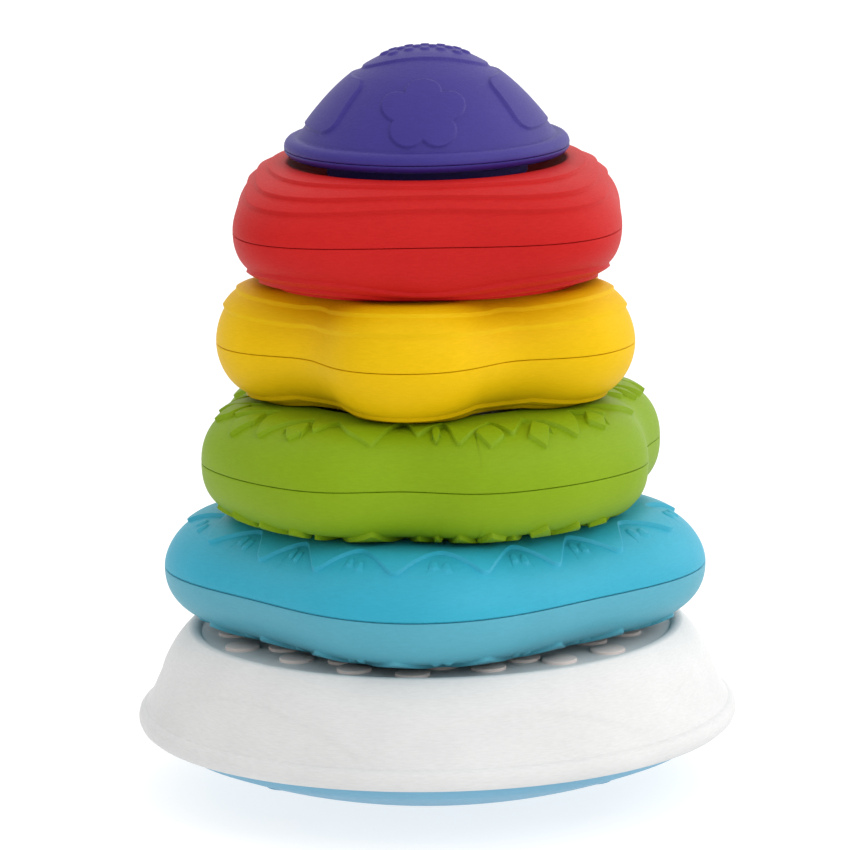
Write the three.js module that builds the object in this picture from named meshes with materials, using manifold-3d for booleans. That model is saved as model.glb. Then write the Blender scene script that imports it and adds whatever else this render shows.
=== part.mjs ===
// Stacking ring toy: a weighted rocker base with a central post, four hollow plastic
// rings of different outlines, and a domed cap that sits loosely on the post's top.
// Millimetres, +Z up. The origin is the middle of the flat foot under the rocker bowl.
import * as THREE from 'three';
import { mergeVertices } from 'three/addons/utils/BufferGeometryUtils.js';
import Module from 'manifold-3d';

const wasm = await Module();
wasm.setup();

// ---- driving dimensions -------------------------------------------------------------

const GAP = 0.3;                    // kept between pieces that touch on the real object
const WALL = 2.2;                   // plastic wall thickness
const DEG = Math.PI / 180;

const FOOT_RADIUS = 20;             // flat foot under the rocker bowl
const ROCKER_SPHERE_RADIUS = 190;   // the curve that the toy rocks on
const BOWL_RADIUS = 78.7;           // upright rim of the bowl, inside the base shell's lip
const BOWL_RIM_TOP = 21;

const LIP_RADIUS = 85.2;            // widest point of the whole toy
const LIP_BOTTOM = 18.4;
const DECK_HEIGHT = 45.5;
const DECK_RADIUS = 66.8;
const DECK_RIM_HEIGHT = 1.4;        // raised edge round the deck
const SEAT_RADIUS = 44;             // low step round the post that the first ring rests on
const SEAT_TOP = 47.2;
const SECTORS = 6;                  // the deck's dots repeat this many times round the axis
const FIRST_SECTOR = -135 * DEG;
const DOT_HEIGHT = 0.9;             // raised grip dots on the deck
const DOT_RADIUS = 4.9;
const SECTOR_DOTS = [               // distance from the axis, and turn from the sector's middle
  [55, 0],
  [59.4, -21.5 * DEG],
  [57.2, 21.5 * DEG],
  [49.3, -14 * DEG],
  [49.3, 14 * DEG],
];

const FIRST_SEAM = 64;              // height of the lowest ring's seam
const RING_PITCH = 33.2;            // from one ring's seam to the next
const RING_HALF = 16.45;            // seam to top face of a ring
const FUNNEL_BOTTOM = 3;            // above the seam, where the funnel meets the bore
const BORE_RADIUS = 28.5;           // round hole through every ring

const POST_BASE_RADIUS = 27;
const POST_TOP_RADIUS = 25.2;
const POST_TOP = 190.6;
const FLANGE_RADIUS = 36;           // post flange, clamped under the deck
const FLANGE_TOP = 35.4;

const CAP_PLANE = 183.9;            // height of the cap's seam at rest
const CAP_RADIUS = 40.1;
const CAP_SOCKET_RADIUS = 27;       // collar inside the cap, loose over the post
const CAP_SOCKET_CEILING = 7;       // above the cap's seam
const CAP_COLLAR = 5;               // how far the collar hangs below the cap, inside the top ring

const BALLAST_RADIUS = 26;
const BALLAST_BOTTOM = 4.6;
const BALLAST_HEIGHT = 12;

const BASE_SCREWS = { count: 4, circle: 60, first: 45 * DEG, length: 15, head: 9.8 };
const POST_SCREWS = { count: 3, circle: 31.8, first: 30 * DEG, length: 8, head: 30.8 };
const COVER_SCREWS = { count: 2, circle: 33, first: 0, length: 5, head: 12.6 };
const SCREW_HEAD_RADIUS = 3;
const SCREW_HEAD_HEIGHT = 2;
const SCREW_RADIUS = 1.1;
const PILOT_RADIUS = SCREW_RADIUS + GAP;
const SCREW_HOLE_RADIUS = 1.8;      // clearance hole
const WELL_RADIUS = 5.8;            // bowl's wells that the base screws' heads sit in
const WELL_BORE_RADIUS = 4.2;
const WELL_TOP = 14.6;
const COVER_BOSS_RADIUS = 3.4;
const COVER_BOSS_TOP = 7.7;
const BASE_BOSS_RADIUS = 4.4;       // bosses under the deck
const POST_BOSS_RADIUS = 3.6;
const DECK_THICKNESS = 2.4;
const COVER_FLANGE_RADIUS = 38;

const ROUND_STEPS = 32;             // facets round the large turned pieces
const SMALL_STEPS = 10;             // facets round bosses and holes

// ---- materials ----------------------------------------------------------------------

const plastic = (color, roughness) => new THREE.MeshStandardMaterial({ color, roughness, metalness: 0 });
const MATERIALS = {
  white: plastic(0xe9e9e8, 0.45),
  skyBlue: plastic(0x6fa9ca, 0.5),
  blue: plastic(0x3f9dc0, 0.5),
  green: plastic(0x8fb428, 0.5),
  yellow: plastic(0xedc005, 0.5),
  red: plastic(0xcf3630, 0.5),
  purple: plastic(0x45399a, 0.55),
  steel: new THREE.MeshStandardMaterial({ color: 0x8a8d90, roughness: 0.45, metalness: 1 }),
};

// ---- shape helpers ------------------------------------------------------------------

const toPoints = (pairs) => pairs.map(([radius, height]) => new THREE.Vector2(radius, height));

// Turned solid about +Z from a profile of [radius, height] pairs.
function turned(pairs, steps = ROUND_STEPS) {
  return new THREE.LatheGeometry(toPoints(pairs), steps).rotateX(Math.PI / 2);
}

// The same turned solid from a profile that closes on itself.
const turnedLoop = (pairs, steps = ROUND_STEPS) => turned([...pairs, pairs[0]], steps);

function uprightCylinder(radius, bottom, top, x, y) {
  return new THREE.CylinderGeometry(radius, radius, top - bottom, SMALL_STEPS)
    .rotateX(Math.PI / 2)
    .translate(x, y, (bottom + top) / 2);
}

function toManifold(geometry) {
  const bare = geometry.clone();
  bare.deleteAttribute('normal');
  bare.deleteAttribute('uv');
  const merged = mergeVertices(bare, 1e-4);
  return new wasm.Manifold(new wasm.Mesh({
    numProp: 3,
    vertProperties: new Float32Array(merged.attributes.position.array),
    triVerts: new Uint32Array(merged.index.array),
  }));
}

function toGeometry(manifold) {
  const mesh = manifold.getMesh();
  const geometry = new THREE.BufferGeometry();
  geometry.setAttribute('position', new THREE.BufferAttribute(new Float32Array(mesh.vertProperties), 3));
  geometry.setIndex(new THREE.BufferAttribute(new Uint32Array(mesh.triVerts), 1));
  geometry.computeVertexNormals();
  return geometry;
}

// Joins the added geometries to the body, then cuts the removed ones out of it.
function joinAndCut(body, added, removed) {
  let solid = toManifold(body);
  for (const geometry of added) solid = solid.add(toManifold(geometry));
  for (const geometry of removed) solid = solid.subtract(toManifold(geometry));
  return toGeometry(solid);
}

// Evenly spaced places on a circle about the axis.
function placesOn({ count, circle, first }) {
  return Array.from({ length: count }, (_, index) => {
    const angle = first + (index * 2 * Math.PI) / count;
    return { x: circle * Math.cos(angle), y: circle * Math.sin(angle) };
  });
}

function named(name, geometry, material) {
  const mesh = new THREE.Mesh(geometry, material);
  mesh.name = name;
  return mesh;
}

// ---- outlines seen from above -------------------------------------------------------

// Each outline is a function from a direction to the distance of the edge from the axis.

const circleOutline = (radius) => () => radius;

// Round outline with `count` even waves; `turn` is the direction of one wave's crest, and each
// further height belongs to a wave with twice, three times and so on as many crests.
const waveOutline = (mean, count, turn, heights) => (angle) =>
  heights.reduce((reach, height, index) =>
    reach + height * Math.cos((index + 1) * count * (angle - turn)), mean);

// ---- rings --------------------------------------------------------------------------

const OUTSIDE_STEPS = [24, 44, 65, 90].map((steepness) => steepness * DEG);
const INSIDE_STEP = 55 * DEG;

// Section of an upper half ring in one direction: up the rounded outside, across the top,
// down the funnel to the bore, and back along the inside of the wall.
function halfRingSection(edge, opening, height, width, roundness) {
  const seam = GAP / 2;
  const shoulder = (shrink) => (steepness) => [
    edge - shrink - width * (1 - Math.cos(steepness) ** (2 / roundness)),
    (height - shrink) * Math.sin(steepness) ** (2 / roundness),
  ];
  return [
    [edge, seam],
    ...OUTSIDE_STEPS.map(shoulder(0)),
    [opening + 1, height],
    [BORE_RADIUS, FUNNEL_BOTTOM],
    [BORE_RADIUS, seam],
    [BORE_RADIUS + WALL, seam],
    [BORE_RADIUS + WALL, FUNNEL_BOTTOM + 1],
    [opening + 1, height - WALL],
    shoulder(WALL)(INSIDE_STEP),
    [edge - WALL, seam],
  ];
}

// A turned blank whose every point is then moved onto the ring's own section.
function halfRing({ mean, outline, opening, steps }, height, { width, widening, roundness }) {
  const sectionTowards = (angle) => {
    const edge = outline(angle);
    const inner = opening(angle);
    const shoulderWidth = Math.min(width + widening * (edge - mean), edge - inner - 1);
    return halfRingSection(edge, inner, height, shoulderWidth, roundness);
  };
  const blank = turnedLoop(halfRingSection(mean, BORE_RADIUS + WALL, height, width, roundness), steps);
  const position = blank.attributes.position;
  const sectionLength = position.count / (steps + 1);
  for (let index = 0; index < position.count; index += 1) {
    const angle = Math.atan2(position.getY(index), position.getX(index));
    const section = sectionTowards(angle);
    const [radius, z] = section[(index % sectionLength) % section.length];
    position.setXYZ(index, radius * Math.cos(angle), radius * Math.sin(angle), z);
  }
  return blank;
}

// The same shape upside down, with its faces turned so that they still point out.
function flipped(geometry) {
  const copy = geometry.clone().scale(1, 1, -1);
  const index = copy.index;
  for (let first = 0; first < index.count; first += 3) {
    const second = index.getX(first + 1);
    index.setX(first + 1, index.getX(first + 2));
    index.setX(first + 2, second);
  }
  return copy;
}

function ring(name, middle, shape, material) {
  const group = new THREE.Group();
  const drop = shape.seamDrop ?? 0;
  group.position.z = middle - drop;
  group.add(
    named(`${name}_upper`, halfRing(shape, RING_HALF + drop, shape.upper), material),
    named(`${name}_lower`, flipped(halfRing(shape, RING_HALF - drop, shape.lower)), material),
  );
  return group;
}

// Each half's shoulder has a mean width, a widening for each millimetre that the edge reaches
// past its mean, and a roundness: the exponent of the curve, where 2 is an ellipse and more is
// squarer. A seam drop moves a ring's seam below its middle.
const RINGS = [
  {
    name: 'blue_ring',
    material: MATERIALS.blue,
    mean: 72.2,
    turn: -94.4,
    crests: 4,
    heights: [4.85],
    opening: circleOutline(38),
    upper: { width: 18.6, widening: -0.38, roundness: 1.8 },
    lower: { width: 21.2, widening: 0.12, roundness: 2.3 },
    steps: 32,
  },
  {
    name: 'green_ring',
    material: MATERIALS.green,
    mean: 65.5,
    turn: 37.4,
    crests: 4,
    heights: [2.87, -1.55, 0.35],
    opening: circleOutline(38),
    upper: { width: 14, widening: 0.25, roundness: 2.15 },
    lower: { width: 16.8, widening: 0.37, roundness: 2.5 },
    steps: 40,
  },
  {
    name: 'yellow_ring',
    material: MATERIALS.yellow,
    mean: 56.1,
    turn: -98.9,
    crests: 5,
    heights: [5.5, -0.85],
    opening: waveOutline(37, 5, -98.9 * DEG, [2.6, -0.3]),
    upper: { width: 13, widening: -0.5, roundness: 1.9 },
    lower: { width: 14.5, widening: -0.8, roundness: 1.9 },
    seamDrop: 0.5,
    steps: 40,
  },
  {
    name: 'red_ring',
    material: MATERIALS.red,
    mean: 58.8,
    turn: 44,
    crests: 4,
    heights: [4.9, 0.3],
    opening: circleOutline(39),
    upper: { width: 17.5, widening: 0.9, roundness: 1.95 },
    lower: { width: 13.4, widening: 1.6, roundness: 2.15 },
    steps: 32,
  },
];

// ---- rocker base --------------------------------------------------------------------

// Height of the rocking surface above the floor at a distance from the axis.
const rockerHeight = (radius) =>
  Math.sqrt(ROCKER_SPHERE_RADIUS ** 2 - FOOT_RADIUS ** 2) - Math.sqrt(ROCKER_SPHERE_RADIUS ** 2 - radius ** 2);

const postBossBottom = FLANGE_TOP + GAP;

function rockerBowl() {
  const inside = [71, 60, 47, 33].map((radius) => [radius, rockerHeight(radius) + WALL + 0.2]);
  const outside = [
    [0, 0],
    ...[FOOT_RADIUS, 34, 48, 61, 73].map((radius) => [radius, rockerHeight(radius)]),
    [BOWL_RADIUS, LIP_BOTTOM],
    [BOWL_RADIUS, BOWL_RIM_TOP],
  ];
  const bowl = turned([
    ...outside,
    [BOWL_RADIUS - WALL, BOWL_RIM_TOP],
    [BOWL_RADIUS - WALL, 18.8],
    ...inside,
    [FOOT_RADIUS, WALL],
    [0, WALL],
  ]);
  const filledBowl = turned([...outside, [0, BOWL_RIM_TOP]]);
  const insideBowl = (geometry) => toGeometry(toManifold(geometry).intersect(toManifold(filledBowl)));
  const ballastSeat = turnedLoop([
    [21, 1.5],
    [24, 1.5],
    [24, BALLAST_BOTTOM - GAP],
    [21, BALLAST_BOTTOM - GAP],
  ], 20);
  const wells = placesOn(BASE_SCREWS);
  const coverBosses = placesOn(COVER_SCREWS);
  return joinAndCut(
    bowl,
    [
      ballastSeat,
      ...wells.map(({ x, y }) => insideBowl(uprightCylinder(WELL_RADIUS, 2, WELL_TOP, x, y))),
      ...coverBosses.map(({ x, y }) => insideBowl(uprightCylinder(COVER_BOSS_RADIUS, 1, COVER_BOSS_TOP, x, y))),
    ],
    [
      ...wells.map(({ x, y }) => uprightCylinder(WELL_BORE_RADIUS, 5, WELL_TOP - WALL, x, y)),
      ...wells.map(({ x, y }) => uprightCylinder(SCREW_HOLE_RADIUS, 10, WELL_TOP + 1, x, y)),
      ...coverBosses.map(({ x, y }) => uprightCylinder(PILOT_RADIUS, 4.6, COVER_BOSS_TOP + 1, x, y)),
    ],
  );
}

function baseShell() {
  const underDeck = DECK_HEIGHT - DECK_THICKNESS;
  const rim = DECK_HEIGHT + DECK_RIM_HEIGHT;
  const shell = turnedLoop([
    [POST_BASE_RADIUS + GAP, underDeck],
    [67.5, underDeck],
    [74.2, 36],
    [BOWL_RADIUS + GAP, 24],
    [BOWL_RADIUS + GAP, LIP_BOTTOM],
    [83, LIP_BOTTOM],
    [84.7, 19.7],
    [LIP_RADIUS, 21.5],
    [84.6, 23.7],
    [83.2, 24.9],
    [81.4, 28.3],
    [78.9, 33.7],
    [76.9, 38.1],
    [74.6, 42],
    [72.2, 45],
    [70, rim],
    [DECK_RADIUS + 1, rim],
    [DECK_RADIUS, DECK_HEIGHT],
    [SEAT_RADIUS + 0.5, DECK_HEIGHT],
    [SEAT_RADIUS, SEAT_TOP],
    [POST_BASE_RADIUS + GAP, SEAT_TOP],
  ]);
  const bosses = placesOn(BASE_SCREWS);
  const postBosses = placesOn(POST_SCREWS);
  const bossBottom = WELL_TOP + GAP;
  return joinAndCut(
    shell,
    [
      ...bosses.map(({ x, y }) => uprightCylinder(BASE_BOSS_RADIUS, bossBottom, underDeck + 1, x, y)),
      ...postBosses.map(({ x, y }) => uprightCylinder(POST_BOSS_RADIUS, postBossBottom, underDeck + 1, x, y)),
      ...deckDots(),
    ],
    [
      ...bosses.map(({ x, y }) => uprightCylinder(PILOT_RADIUS, bossBottom - 1, 29, x, y)),
      ...postBosses.map(({ x, y }) => uprightCylinder(PILOT_RADIUS, postBossBottom - 1, underDeck, x, y)),
    ],
  );
}

// Low round grip dots; each sinks a little into the deck to join it.
function deckDots() {
  const sunk = 1;
  const dots = SECTOR_DOTS.flatMap(([circle, turn]) =>
    placesOn({ count: SECTORS, circle, first: FIRST_SECTOR + turn }));
  return dots.map(({ x, y }) =>
    new THREE.CylinderGeometry(DOT_RADIUS, DOT_RADIUS, DOT_HEIGHT + sunk, 6)
      .rotateX(Math.PI / 2)
      .translate(x, y, DECK_HEIGHT + (DOT_HEIGHT - sunk) / 2));
}

function centrePost() {
  const flangeBottom = FLANGE_TOP - WALL;
  const post = turned([
    [0, POST_TOP - WALL],
    [POST_TOP_RADIUS - WALL, POST_TOP - WALL],
    [POST_BASE_RADIUS - WALL, flangeBottom],
    [FLANGE_RADIUS, flangeBottom],
    [FLANGE_RADIUS, FLANGE_TOP],
    [POST_BASE_RADIUS, FLANGE_TOP],
    [POST_BASE_RADIUS, SEAT_TOP],
    [POST_TOP_RADIUS, POST_TOP - 2],
    [POST_TOP_RADIUS - 2, POST_TOP],
    [0, POST_TOP],
  ], 32);
  const holes = placesOn(POST_SCREWS).map(({ x, y }) =>
    uprightCylinder(SCREW_HOLE_RADIUS, flangeBottom - 1, FLANGE_TOP + 1, x, y));
  return joinAndCut(post, [], holes);
}

// Disc of steel low in the bowl that brings the toy upright again after it rocks.
function ballastWeight() {
  const top = BALLAST_BOTTOM + BALLAST_HEIGHT;
  return turned([
    [0, BALLAST_BOTTOM],
    [BALLAST_RADIUS - 1, BALLAST_BOTTOM],
    [BALLAST_RADIUS, BALLAST_BOTTOM + 1],
    [BALLAST_RADIUS, top],
    [0, top],
  ], 24);
}

// Cup over the weight, with a flange screwed down to the bowl.
function ballastCover() {
  const ceiling = BALLAST_BOTTOM + BALLAST_HEIGHT + GAP;
  const inner = BALLAST_RADIUS + GAP;
  const flangeBottom = COVER_BOSS_TOP + GAP;
  const cover = turned([
    [0, ceiling],
    [inner, ceiling],
    [inner, flangeBottom],
    [COVER_FLANGE_RADIUS, flangeBottom],
    [COVER_FLANGE_RADIUS, flangeBottom + WALL],
    [inner + WALL, flangeBottom + WALL],
    [inner + WALL, ceiling + WALL],
    [0, ceiling + WALL],
  ], 24);
  const holes = placesOn(COVER_SCREWS).map(({ x, y }) =>
    uprightCylinder(SCREW_HOLE_RADIUS, flangeBottom - 1, flangeBottom + WALL + 1, x, y));
  return joinAndCut(cover, [], holes);
}

// ---- screws -------------------------------------------------------------------------

// Pan-head screw that points up, with the bottom of its head at height 0.
function screw(length) {
  return turned([
    [0, 0],
    [SCREW_HEAD_RADIUS - 0.8, 0],
    [SCREW_HEAD_RADIUS, 0.8],
    [SCREW_HEAD_RADIUS, SCREW_HEAD_HEIGHT],
    [SCREW_RADIUS, SCREW_HEAD_HEIGHT],
    [SCREW_RADIUS, SCREW_HEAD_HEIGHT + length - 1.5],
    [0, SCREW_HEAD_HEIGHT + length],
  ], 8);
}

function screws(name, pattern, pointsDown = false) {
  return placesOn(pattern).map(({ x, y }, index) => {
    const mesh = named(`${name}_${index + 1}`, screw(pattern.length), MATERIALS.steel);
    mesh.position.set(x, y, pattern.head);
    if (pointsDown) mesh.rotation.x = Math.PI;
    return mesh;
  });
}

// ---- cap ----------------------------------------------------------------------------

// Heights below are measured from the seam that runs round the middle of the cap's lip.

function capDome() {
  const seam = GAP / 2;
  return turned([
    [0, 25.4],
    [13, 22.4],
    [24.2, 14.2],
    [32.6, 4.2],
    [35.6, seam],
    [CAP_RADIUS, seam],
    [CAP_RADIUS - 0.7, 1.9],
    [CAP_RADIUS - 2.5, 2.9],
    [35.8, 4.1],
    [31.8, 9.3],
    [25.6, 16.2],
    [18.8, 21.7],
    [14, 24.9],
    [8, 27.4],
    [0, 28.2],
  ], ROUND_STEPS);
}

function capBase() {
  const seam = -GAP / 2;
  const bottom = -2.4;
  const collarBottom = bottom - CAP_COLLAR;
  const collar = CAP_SOCKET_RADIUS + 1.2;
  const sleeve = CAP_SOCKET_RADIUS + 1.8;
  return turned([
    [0, CAP_SOCKET_CEILING],
    [CAP_SOCKET_RADIUS, CAP_SOCKET_CEILING],
    [CAP_SOCKET_RADIUS, collarBottom],
    [collar, collarBottom],
    [collar, bottom],
    [CAP_RADIUS - 2.3, bottom],
    [CAP_RADIUS - 0.7, -1.7],
    [CAP_RADIUS, seam],
    [sleeve, seam],
    [sleeve, CAP_SOCKET_CEILING + 0.5],
    [sleeve - 1.2, CAP_SOCKET_CEILING + 1.8],
    [0, CAP_SOCKET_CEILING + 1.8],
  ], ROUND_STEPS);
}

function cap() {
  const group = new THREE.Group();
  group.position.z = CAP_PLANE;
  group.add(named('cap_dome', capDome(), MATERIALS.purple), named('cap_base', capBase(), MATERIALS.purple));
  return group;
}

// ---- the whole toy ------------------------------------------------------------------

const toy = new THREE.Group();
toy.add(named('base_shell', baseShell(), MATERIALS.white));
toy.add(named('rocker_bowl', rockerBowl(), MATERIALS.skyBlue));
toy.add(named('centre_post', centrePost(), MATERIALS.white));
toy.add(named('ballast_weight', ballastWeight(), MATERIALS.steel));
toy.add(named('ballast_cover', ballastCover(), MATERIALS.white));
toy.add(...screws('base_screw', BASE_SCREWS));
toy.add(...screws('post_screw', POST_SCREWS));
toy.add(...screws('cover_screw', COVER_SCREWS, true));
RINGS.forEach(({ name, material, ...values }, level) => {
  const { mean, crests, turn, heights } = values;
  const shape = { ...values, outline: waveOutline(mean, crests, turn * DEG, heights) };
  toy.add(ring(name, FIRST_SEAM + level * RING_PITCH, shape, material));
});
toy.add(cap());

export default toy;
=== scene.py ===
import math

import bmesh
import bpy
from mathutils import Matrix, Vector


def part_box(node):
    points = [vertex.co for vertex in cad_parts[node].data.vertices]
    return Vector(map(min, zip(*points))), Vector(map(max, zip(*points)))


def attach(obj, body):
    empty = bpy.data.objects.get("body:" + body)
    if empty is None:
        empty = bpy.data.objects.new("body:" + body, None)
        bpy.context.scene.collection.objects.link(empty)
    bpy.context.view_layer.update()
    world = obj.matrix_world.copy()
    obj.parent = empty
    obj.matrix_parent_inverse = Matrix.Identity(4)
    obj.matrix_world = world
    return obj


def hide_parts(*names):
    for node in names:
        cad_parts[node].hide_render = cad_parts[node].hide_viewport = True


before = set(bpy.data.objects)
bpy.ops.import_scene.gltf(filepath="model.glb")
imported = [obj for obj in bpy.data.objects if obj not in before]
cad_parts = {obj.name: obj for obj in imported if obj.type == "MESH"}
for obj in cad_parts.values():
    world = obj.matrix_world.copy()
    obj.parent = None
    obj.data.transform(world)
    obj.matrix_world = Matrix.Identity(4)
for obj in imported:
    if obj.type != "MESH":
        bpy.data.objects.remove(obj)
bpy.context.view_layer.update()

MM = 0.001
TAU = 2 * math.pi
GAP = 0.3                     # kept between neighbouring pieces
SEAM = 0.18                   # gap between the two halves of each hollow piece
WALL = 2.2
BORE_RADIUS = 28.5            # round hole through every ring


def low(node):
    """Height of a CAD node's lowest point, in millimetres."""
    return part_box(node)[0][2] / MM


def high(node):
    """Height of a CAD node's highest point, in millimetres."""
    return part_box(node)[1][2] / MM


# ---- outlines seen from above ---------------------------------------------------------------
# Each outline is a function from a direction to the distance of the edge from the axis.

def from_nearest(angle, count, turn):
    """Angle from the nearest of `count` evenly spaced directions, the first one at `turn`."""
    sector = TAU / count
    return abs(angle - turn - sector * round((angle - turn) / sector))


def circle_outline(radius):
    """Plain round outline."""
    return lambda angle: radius


def wave_outline(mean, count, turn, heights):
    """Round outline with even waves; each further height has twice, three times... the crests."""
    turn = math.radians(turn)
    return lambda angle: mean + sum(
        height * math.cos((index + 1) * count * (angle - turn)) for index, height in enumerate(heights))


# ---- mesh building --------------------------------------------------------------------------

def clean_mesh(name, vertices, faces, scale=1):
    """Mesh from points, with its faces all turned outwards."""
    mesh = bpy.data.meshes.new(name)
    mesh.from_pydata([(x * scale, y * scale, z * scale) for x, y, z in vertices], [], faces)
    cleaner = bmesh.new()
    cleaner.from_mesh(mesh)
    bmesh.ops.recalc_face_normals(cleaner, faces=cleaner.faces)
    cleaner.to_mesh(mesh)
    cleaner.free()
    return mesh


def add_piece(name, vertices, faces, body, slot, material, replaced=()):
    """Makes a smooth closed piece from points in millimetres, parents it to its body's empty and hides
    the CAD nodes it replaces.
    """
    mesh = clean_mesh(name, vertices, faces, MM)
    mesh.shade_smooth()
    mesh.materials.append(material)
    piece = bpy.data.objects.new(name, mesh)
    bpy.context.scene.collection.objects.link(piece)
    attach(piece, body)
    if replaced:
        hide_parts(*replaced)
    return piece


def skin(rings, steps, closed=False):
    """Vertices and faces of a skin over rings of points; a ring of one point makes a tip."""
    vertices = []
    numbers = []
    for ring in rings:
        start = len(vertices)
        vertices += ring
        numbers.append([start + index % len(ring) for index in range(steps)])
    if closed:
        numbers.append(numbers[0])
    faces = []
    for here, there in zip(numbers, numbers[1:]):
        for index in range(steps):
            beside = (index + 1) % steps
            corners = (here[index], here[beside], there[beside], there[index])
            face = list(dict.fromkeys(corners))
            if len(face) > 2:
                faces.append(face)
    return vertices, faces


def circle(radius, height, steps):
    """Ring of points about +Z; on the axis it is a single point."""
    if radius < 1e-6:
        return [(0, 0, height)]
    angles = [index * TAU / steps for index in range(steps)]
    return [(radius * math.cos(angle), radius * math.sin(angle), height) for angle in angles]


def turned(profile, steps):
    """Solid of revolution about +Z; the profile starts and ends on the axis, or closes on itself."""
    rings = [circle(radius, height, steps) for radius, height in profile]
    return skin(rings, steps, closed=profile[0][0] > 1e-6)


def rounded(points, per_span):
    """Smooth path through every point, as a Catmull-Rom curve."""
    path = []
    for index in range(len(points) - 1):
        before = Vector(points[max(index - 1, 0)])
        start = Vector(points[index])
        end = Vector(points[index + 1])
        after = Vector(points[min(index + 2, len(points) - 1)])
        for step in range(per_span):
            t = step / per_span
            path.append(tuple(0.5 * (
                2 * start + (end - before) * t
                + (2 * before - 5 * start + 4 * end - after) * t ** 2
                + (3 * start - before - 3 * end + after) * t ** 3)))
    path.append(tuple(points[-1]))
    return path


# ---- materials ------------------------------------------------------------------------------

GRAIN_DEPTH = 0.0002          # metres


class Painter:
    """A new material and the few node links that both kinds of material are built from."""

    def __init__(self, name):
        self.material = bpy.data.materials.new(name)
        self.material.use_nodes = True
        self.nodes = self.material.node_tree.nodes
        self.links = self.material.node_tree.links
        self.shader = self.nodes["Principled BSDF"]
        self.place = self.nodes.new("ShaderNodeTexCoord").outputs["Object"]

    def noise(self, coordinates, scale, detail):
        """Noise with its values round 0.5."""
        texture = self.nodes.new("ShaderNodeTexNoise")
        texture.inputs["Scale"].default_value = scale
        texture.inputs["Detail"].default_value = detail
        self.links.new(coordinates, texture.inputs["Vector"])
        return texture.outputs["Fac"]

    def ranged(self, value, low_out, high_out):
        """Noise values from 0.3 to 0.7 mapped on to another range."""
        mapped = self.nodes.new("ShaderNodeMapRange")
        mapped.inputs["From Min"].default_value = 0.3
        mapped.inputs["From Max"].default_value = 0.7
        mapped.inputs["To Min"].default_value = low_out
        mapped.inputs["To Max"].default_value = high_out
        self.links.new(value, mapped.inputs["Value"])
        return mapped.outputs["Result"]

    def multiply_add(self, value, factor, addend):
        """Value times a fixed factor, plus a second value."""
        node = self.nodes.new("ShaderNodeMath")
        node.operation = "MULTIPLY_ADD"
        node.inputs[1].default_value = factor
        self.links.new(value, node.inputs[0])
        self.links.new(addend, node.inputs[2])
        return node.outputs[0]

    def color_between(self, factor, first, second):
        """Base colour that goes from the first to the second with a value."""
        tint = self.nodes.new("ShaderNodeMix")
        tint.data_type = "RGBA"
        tint.inputs["A"].default_value = (*first, 1)
        tint.inputs["B"].default_value = (*second, 1)
        self.links.new(factor, tint.inputs["Factor"])
        self.links.new(tint.outputs["Result"], self.shader.inputs["Base Color"])

    def roughness(self, value):
        self.links.new(value, self.shader.inputs["Roughness"])

    def grain(self, height, strength):
        """Fine bumps in the surface."""
        bump = self.nodes.new("ShaderNodeBump")
        bump.inputs["Strength"].default_value = strength
        bump.inputs["Distance"].default_value = GRAIN_DEPTH
        self.links.new(height, bump.inputs["Height"])
        self.links.new(bump.outputs["Normal"], self.shader.inputs["Normal"])


def moulded_plastic(name, color, roughness, grain, shine=0.3, streaks=0.35):
    """Satin moulded plastic: slow colour drift, spark-eroded grain, and faint level streaks."""
    painter = Painter(name)
    painter.shader.inputs["Specular IOR Level"].default_value = shine
    flat = painter.nodes.new("ShaderNodeMapping")
    flat.inputs["Scale"].default_value = (1, 1, 7)
    painter.links.new(painter.place, flat.inputs["Vector"])

    drift = painter.noise(painter.place, 45, 2)
    fine = painter.noise(painter.place, 1900, 3)
    level = painter.noise(flat.outputs["Vector"], 420, 2)

    darker = [channel * 0.93 for channel in color]
    lighter = [min(channel * 1.05 + 0.004, 1) for channel in color]
    unevenness = painter.multiply_add(painter.ranged(drift, 0, 1), 0.45, painter.ranged(level, 0, 0.55))
    painter.color_between(unevenness, darker, lighter)
    painter.roughness(painter.ranged(fine, roughness - 0.05, roughness + 0.06))
    painter.grain(painter.multiply_add(level, streaks, fine), grain)
    return painter.material


def zinc_steel(name):
    """Zinc-plated steel with a faint grain and uneven sheen."""
    painter = Painter(name)
    painter.shader.inputs["Metallic"].default_value = 1.0
    cloud = painter.noise(painter.place, 260, 4)
    painter.color_between(cloud, (0.42, 0.43, 0.45), (0.66, 0.66, 0.64))
    painter.roughness(painter.ranged(cloud, 0.28, 0.46))
    painter.grain(painter.noise(painter.place, 2400, 2), 0.15)
    return painter.material


WHITE = moulded_plastic("white_plastic", (0.665, 0.665, 0.66), 0.46, 0.12, 0.15)
DOT_WHITE = moulded_plastic("white_plastic_dots", (0.72, 0.62, 0.58), 0.5, 0.12)
SKY = moulded_plastic("light_blue_plastic", (0.16, 0.39, 0.55), 0.48, 0.15)
BLUE = moulded_plastic("blue_plastic", (0.02, 0.345, 0.49), 0.48, 0.25)
# Paler copy of the blue for the ring's lower half: painted sheen of the white floor that this half faces
FLOOR_SHEEN_BLUE = moulded_plastic("blue_plastic_floor_sheen", (0.075, 0.345, 0.45), 0.48, 0.25)
GREEN = moulded_plastic("green_plastic", (0.205, 0.335, 0.002), 0.5, 0.3, 0.15)
YELLOW = moulded_plastic("yellow_plastic", (0.74, 0.455, 0.0), 0.5, 0.2, 0.08)
RED = moulded_plastic("red_plastic", (0.50, 0.009, 0.008), 0.54, 0.35, 0.12)
PURPLE = moulded_plastic("purple_plastic", (0.027, 0.014, 0.20), 0.5, 0.4, 0.35)
STEEL = zinc_steel("steel")


# ---- rings ----------------------------------------------------------------------------------
# A relief is a list of (inset, run, rise) steps met on the way from a ring's edge to its opening.

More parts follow.
